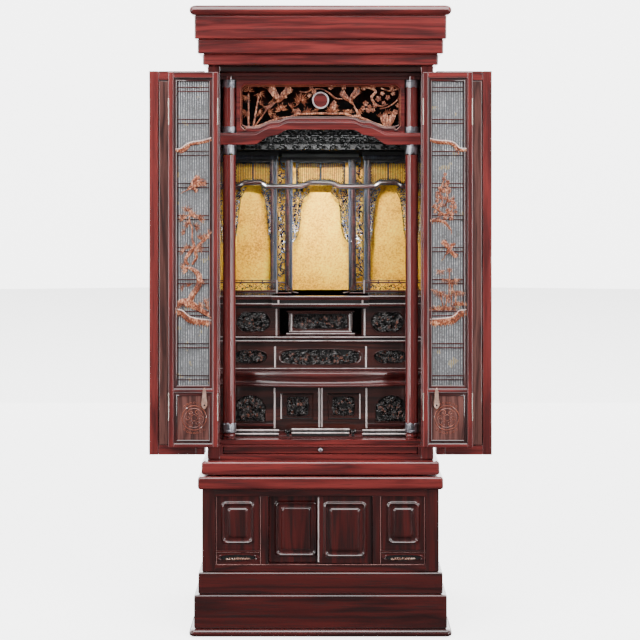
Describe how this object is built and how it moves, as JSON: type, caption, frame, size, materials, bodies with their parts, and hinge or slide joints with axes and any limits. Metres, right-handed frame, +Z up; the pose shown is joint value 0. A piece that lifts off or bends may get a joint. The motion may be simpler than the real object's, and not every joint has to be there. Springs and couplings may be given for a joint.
{
  "type": "household altar cabinet",
  "caption": "Floor-standing household altar cabinet of polished rosewood, folding doors open on carved steps and gold panels, over a cabinet with sliding doors.",
  "frame": {"origin": "middle of the outline at the floor, doors open", "axes": "+Z up, +X to the right seen from the front, +Y to the back"},
  "size_m": [0.8806, 0.5503, 1.5999],
  "materials": {
    "rosewood": "glossy lacquered rosewood",
    "dark_wood": "glossy dark rosewood",
    "carved_wood": "satin carved wood",
    "gold_leaf": "gold leaf on board",
    "gauze": "silk gauze behind thin wooden slats",
    "cap_metal": "satin metal",
    "pull_metal": "pale coppered metal"
  },
  "bodies": {
    "cabinet": {"base_plinth": "rosewood", "lower_case": "rosewood", "lower_panel_left": "rosewood", "lower_panel_right": "rosewood", "lower_top_board": "rosewood", "upper_base_board": "rosewood", "altar_case": "rosewood", "cornice": "rosewood", "arched_rail": "rosewood", "transom_frame": "rosewood", "bowed_shelf": "rosewood", "step_ledge": "rosewood", "altar_platform": "rosewood", "floor_rail_left": "rosewood", "floor_rail_right": "rosewood", "floor_rail_middle": "rosewood", "post_foot_left": "rosewood", "long_post_left": "rosewood", "short_post_left": "rosewood", "post_cap_low_left": "cap_metal", "post_cap_high_left": "cap_metal", "lower_vent_left": "carved_wood", "altar_railing_left": "dark_wood", "post_foot_right": "rosewood", "long_post_right": "rosewood", "short_post_right": "rosewood", "post_cap_low_right": "cap_metal", "post_cap_high_right": "cap_metal", "lower_vent_right": "carved_wood", "altar_railing_right": "dark_wood", "transom_carving": "carved_wood", "gold_back_board": "gold_leaf", "lower_step": "dark_wood", "middle_step": "dark_wood", "upper_step": "dark_wood", "pedestal": "dark_wood", "shrine_screen": "dark_wood", "canopy": "dark_wood"},
    "outer_left_hung": {"outer_door_left_hung": "rosewood"},
    "outer_left_folded": {"outer_door_left_folded": "rosewood"},
    "outer_right_hung": {"outer_door_right_hung": "rosewood"},
    "outer_right_folded": {"outer_door_right_folded": "rosewood"},
    "inner_left_hung": {"lattice_door_left_hung": "rosewood", "gauze_left_hung": "gauze", "carving_left_hung": "carved_wood"},
    "inner_left_folded": {"lattice_door_left_folded": "rosewood", "gauze_left_folded": "gauze", "carving_left_folded": "carved_wood", "drop_pull_left": "pull_metal"},
    "inner_right_hung": {"lattice_door_right_hung": "rosewood", "gauze_right_hung": "gauze", "carving_right_hung": "carved_wood"},
    "inner_right_folded": {"lattice_door_right_folded": "rosewood", "gauze_right_folded": "gauze", "carving_right_folded": "carved_wood", "drop_pull_right": "pull_metal"},
    "sliding_left": {"sliding_door_left": "rosewood"},
    "sliding_right": {"sliding_door_right": "rosewood"},
    "tray": {"pull_out_tray": "rosewood", "tray_knob": "cap_metal"}
  },
  "joints": [
    {"name": "outer_door_left", "type": "hinge", "parent": "cabinet", "child": "outer_left_hung", "pos_m": [-0.293, -0.207, 0.944], "axis": [0, 0, 1], "range_deg": [0, 180]},
    {"name": "outer_fold_left", "type": "hinge", "parent": "outer_left_hung", "child": "outer_left_folded", "pos_m": [-0.44075, -0.1805, 0.944], "axis": [0, 0, 1], "range_deg": [0, 180]},
    {"name": "inner_door_left", "type": "hinge", "parent": "cabinet", "child": "inner_left_hung", "pos_m": [-0.2585, -0.205, 0.954], "axis": [0, 0, 1], "range_deg": [0, 180]},
    {"name": "inner_fold_left", "type": "hinge", "parent": "inner_left_hung", "child": "inner_left_folded", "pos_m": [-0.388, -0.2295, 0.954], "axis": [0, 0, -1], "range_deg": [0, 180]},
    {"name": "outer_door_right", "type": "hinge", "parent": "cabinet", "child": "outer_right_hung", "pos_m": [0.293, -0.207, 0.944], "axis": [0, 0, -1], "range_deg": [0, 180]},
    {"name": "outer_fold_right", "type": "hinge", "parent": "outer_right_hung", "child": "outer_right_folded", "pos_m": [0.44075, -0.1805, 0.944], "axis": [0, 0, -1], "range_deg": [0, 180]},
    {"name": "inner_door_right", "type": "hinge", "parent": "cabinet", "child": "inner_right_hung", "pos_m": [0.2585, -0.205, 0.954], "axis": [0, 0, -1], "range_deg": [0, 180]},
    {"name": "inner_fold_right", "type": "hinge", "parent": "inner_right_hung", "child": "inner_right_folded", "pos_m": [0.388, -0.2295, 0.954], "axis": [0, 0, 1], "range_deg": [0, 180]},
    {"name": "slide_left", "type": "slide", "parent": "cabinet", "child": "sliding_left", "axis": [1, 0, 0], "range_m": [0, 0.122]},
    {"name": "slide_right", "type": "slide", "parent": "cabinet", "child": "sliding_right", "axis": [-1, 0, 0], "range_m": [0, 0.122]},
    {"name": "tray_slide", "type": "slide", "parent": "cabinet", "child": "tray", "axis": [0, 1, 0], "range_m": [-0.24, 0]}
  ],
  "couplings": [
    {"joint": "outer_fold_left", "follows": "outer_door_left", "ratio": 1},
    {"joint": "inner_door_left", "follows": "outer_door_left", "ratio": 1},
    {"joint": "inner_fold_left", "follows": "outer_door_left", "ratio": 1},
    {"joint": "outer_fold_right", "follows": "outer_door_right", "ratio": 1},
    {"joint": "inner_door_right", "follows": "outer_door_right", "ratio": 1},
    {"joint": "inner_fold_right", "follows": "outer_door_right", "ratio": 1}
  ]
}
